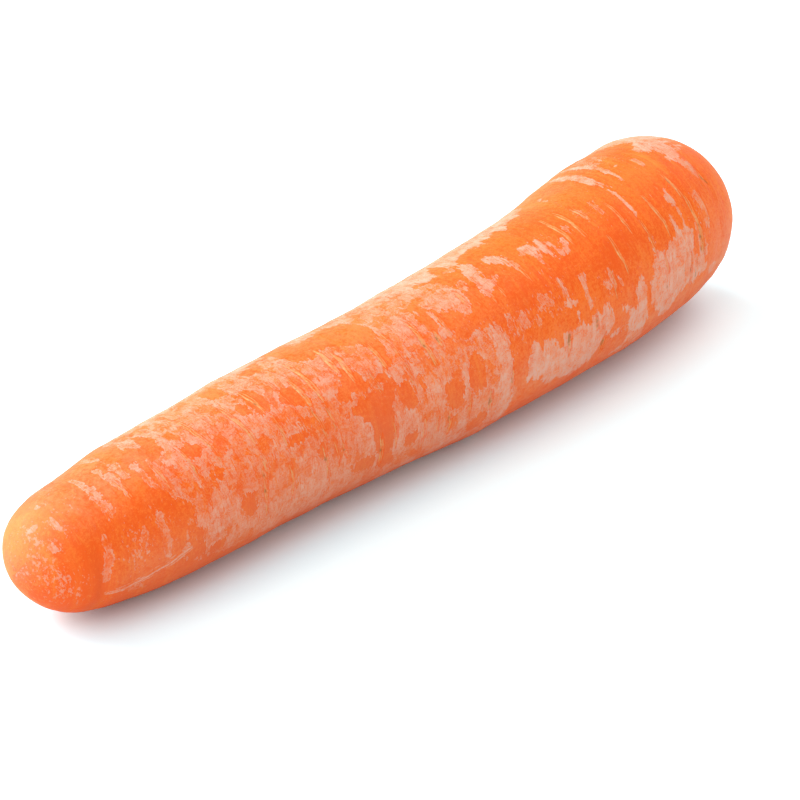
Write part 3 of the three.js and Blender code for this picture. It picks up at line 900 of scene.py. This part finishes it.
def with_creases(paint, at, skin):
    """Adds the creases, each with a deeper outline, partly painted shade beside the crease and partly flesh
    where the film cracks, and a cream core, and the brown pits.
    """
    crease = paint.field("crease") * (1 + at.grain * 0.25)
    # Painted shade: a deeper orange outline beside each crease, also standing for flesh where the film
    # cracks.
    outline = crease.ease(0, 0.05) - crease.ease(0.1, 0.28)
    skin = paint.mix(outline * COVER["crease_shade_outline"], skin, FLESH_DEEP_AND_SHADE)
    skin = paint.mix(crease.ease(0.08, 0.45) * COVER["crease_edge"], skin, CREASE_EDGE)
    skin = paint.mix(crease.ease(0.4, 0.8) * COVER["crease_core"], skin, CREASE_CORE)
    specks = paint.noise(at.place, 2.4, 1).ease(0.7, 1.4) * crease.ease(0.3, 0.7)
    pits = (paint.field("pit") + at.grain * 0.15).ease(0.35, 0.75)
    return paint.mix(pits.most(specks * 0.8) * COVER["pits"], skin, BROWN)


def with_crown(paint, at, skin):
    """Adds the crown: brown and green round the cut leaf stub."""
    crown = paint.field("crown") + paint.field("crown_rays") * 0.05 + at.mottle * 0.06 + at.cloud * 0.05
    skin = paint.mix(crown.ease(0.28, 0.66) * COVER["crown_edge"], skin, CROWN_EDGE)
    skin = paint.mix(crown.ease(0.5, 0.74) * COVER["crown"], skin, CROWN)
    cut = (at.mottle * 0.5 + at.fine * 0.6 + at.cloud * 0.3).ease(-0.5, 1.3)
    return paint.mix(paint.field("stub").ease(0.55, 0.95), skin, paint.mix(cut, STUB_PALE, STUB_DARK))


def skin_material():
    material = bpy.data.materials.new("carrot_skin")
    paint = Paint(material)
    at = shared_noise(paint)
    film = film_cover(paint, at)
    haze = paint.mix(film.ease(0.2, 0.6), THIN_HAZE, FILM)
    # Painted sheen: the veil pales the skin over the top and along the lower limb as well as being haze, and
    # the frost whitens the film under it.
    veil_and_sheen = paint.field("veiled_and_sheen") * (COVER["veil_and_sheen"] + at.cloud * 0.04 + at.mottle * 0.04 + at.grain * 0.02)
    # Painted shade on the lower side towards the tip, laid under the film and again over it.
    painted_shade = paint.field("painted_shade").ease(0, 1.2)
    skin = paint.mix(veil_and_sheen, flesh_colour(paint, at), VEIL_AND_SHEEN)
    skin = paint.mix(painted_shade * COVER["shade_under_film"], skin, SHADE_RED_BROWN)
    skin = paint.mix(film.ease(0, 1.02), skin, haze)
    skin = paint.mix(veil_and_sheen * film.ease(0.1, 0.5) * COVER["frost_and_sheen"], skin, FROST_AND_SHEEN)
    skin = paint.mix(painted_shade * COVER["shade_over_film"], skin, SHADE_RED_BROWN)
    skin = with_crown(paint, at, with_creases(paint, at, skin))
    bumpy = paint.node("ShaderNodeBump", {}, {**BUMP, "Height": at.mottle * 0.25 + film})
    surface = paint.node("ShaderNodeBsdfPrincipled", {}, {
        "Base Color": skin,
        "Roughness": FLESH_ROUGHNESS + film * FILM_ROUGHNESS,
        "Normal": bumpy,
        "IOR": GLOSS_IOR,
    })
    paint.node("ShaderNodeOutputMaterial", {}, {"Surface": surface})
    return material


# ---- The studio, in metres ----
WHITE = (1, 1, 1, 1)
ROOM_LIGHT = 0.74
TABLE_SIDE = 6
TABLE_DROP = 0.0002  # keeps the table just clear of the carrot
TABLE_WHITE = (0.74, 0.74, 0.74, 1)  # the table as the carrot is lit by it
TABLE_ENDS = (0.3, 0.7)  # the distances over which the table turns to plain white
# The table as the camera sees it, at half its brightness. Light off the carrot warms the table close
# under it, and the second tone takes that warmth back.
TABLE = (0.493, 0.5885, 0.61, 1)
TABLE_UNDER_CARROT = (0.45, 0.594, 0.64, 1)
UNDER_CARROT = (1 / 0.115, 1 / 0.021, 0)  # one over half the length and width of its footprint
UNDER_EDGE = (1.2, 0.75)  # where the second tone ends and is full, as shares of the footprint

SOFTBOX_SIDE = 1.4
SOFTBOXES = [
    # name, place and watts
    ("back_softbox", (-0.4, 1.47, 0.95), 36),
    ("tip_side_softbox", (-1.42, 0, 1.11), 10.6),
    ("crown_side_softbox", (1.38, 0, 1.16), 9.8),
]


def table_material():
    material = bpy.data.materials.new("white_table")
    paint = Paint(material)
    seen = paint.node("ShaderNodeLightPath", {}, {}, "Is Camera Ray")
    plain = paint.node("ShaderNodeBsdfDiffuse", {}, {"Color": TABLE_WHITE})
    place = paint.node("ShaderNodeNewGeometry", {}, {}, "Position")
    footprint = paint.length(paint.scaled(place, *UNDER_CARROT))
    tone = paint.mix(footprint.ease(*UNDER_EDGE), TABLE, TABLE_UNDER_CARROT)
    half = paint.node("ShaderNodeBsdfDiffuse", {}, {"Color": tone})
    bright = paint.node("ShaderNodeAddShader", {}, {0: half, 1: half})
    white = paint.node("ShaderNodeEmission", {}, {"Color": WHITE, "Strength": 1})
    away = paint.length(place).ease(*TABLE_ENDS)
    bright = paint.node("ShaderNodeMixShader", {}, {0: away, 1: bright, 2: white})
    table = paint.node("ShaderNodeMixShader", {}, {0: seen, 1: plain, 2: bright})
    paint.node("ShaderNodeOutputMaterial", {}, {"Surface": table})
    return material


def make_floor():
    bpy.ops.mesh.primitive_plane_add(size=TABLE_SIDE, location=(0, 0, -TABLE_DROP))
    floor = bpy.context.object
    floor.name = "white_table"
    floor.data.materials.append(table_material())


def make_world():
    world = bpy.data.worlds.new("studio")
    bpy.context.scene.world = world
    paint = Paint(world)
    seen = paint.node("ShaderNodeLightPath", {}, {}, "Is Camera Ray")
    room = paint.node("ShaderNodeBackground", {}, {"Color": WHITE, "Strength": ROOM_LIGHT})
    white = paint.node("ShaderNodeBackground", {}, {"Color": WHITE, "Strength": 1})
    either = paint.node("ShaderNodeMixShader", {}, {0: seen, 1: room, 2: white})
    paint.node("ShaderNodeOutputWorld", {}, {"Surface": either})


def make_softbox(name, place, watts):
    """A square lamp that faces the carrot."""
    data = bpy.data.lights.new(name, "AREA")
    data.shape = "RECTANGLE"
    data.size = data.size_y = SOFTBOX_SIDE
    data.energy = watts
    lamp = bpy.data.objects.new(name, data)
    bpy.context.scene.collection.objects.link(lamp)
    lamp.location = place
    lamp.rotation_euler = (Vector((0, 0, 0)) - Vector(place)).to_track_quat("-Z", "Y").to_euler()


# ---- The camera ----
HEADING = 48.27  # degrees from +Y towards +X
ELEVATION = 28.5
LENS = 108  # millimetres, on a sensor of this width
SENSOR = 36
CLIP = (0.01, 50)
DISTANCE = 477.5 * MM
AIM = Vector((0, 0, 16 * MM))
ASIDE = Vector((2.08, 7.25)) * MM  # the camera's slide to its left and down, which frames the carrot


def make_camera():
    heading = math.radians(HEADING)
    drop = math.radians(ELEVATION)
    forward = Vector((
        math.sin(heading) * math.cos(drop),
        math.cos(heading) * math.cos(drop),
        -math.sin(drop),
    ))
    right = Vector((math.cos(heading), -math.sin(heading), 0))
    up = right.cross(forward)
    data = bpy.data.cameras.new("camera")
    data.lens = LENS
    data.sensor_width = SENSOR
    data.clip_start, data.clip_end = CLIP
    camera = bpy.data.objects.new("camera", data)
    bpy.context.scene.collection.objects.link(camera)
    camera.rotation_mode = "QUATERNION"
    camera.location = AIM - forward * DISTANCE - right * ASIDE.x - up * ASIDE.y
    camera.rotation_quaternion = Matrix((right, up, -forward)).transposed().to_quaternion()
    bpy.context.scene.camera = camera


bpy.context.scene.view_settings.view_transform = "Standard"
make_camera()
make_floor()
make_world()
for softbox in SOFTBOXES:
    make_softbox(*softbox)

skin = make_skin()
skin.data.materials.append(skin_material())
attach(skin, "root")
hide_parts("carrot_root")
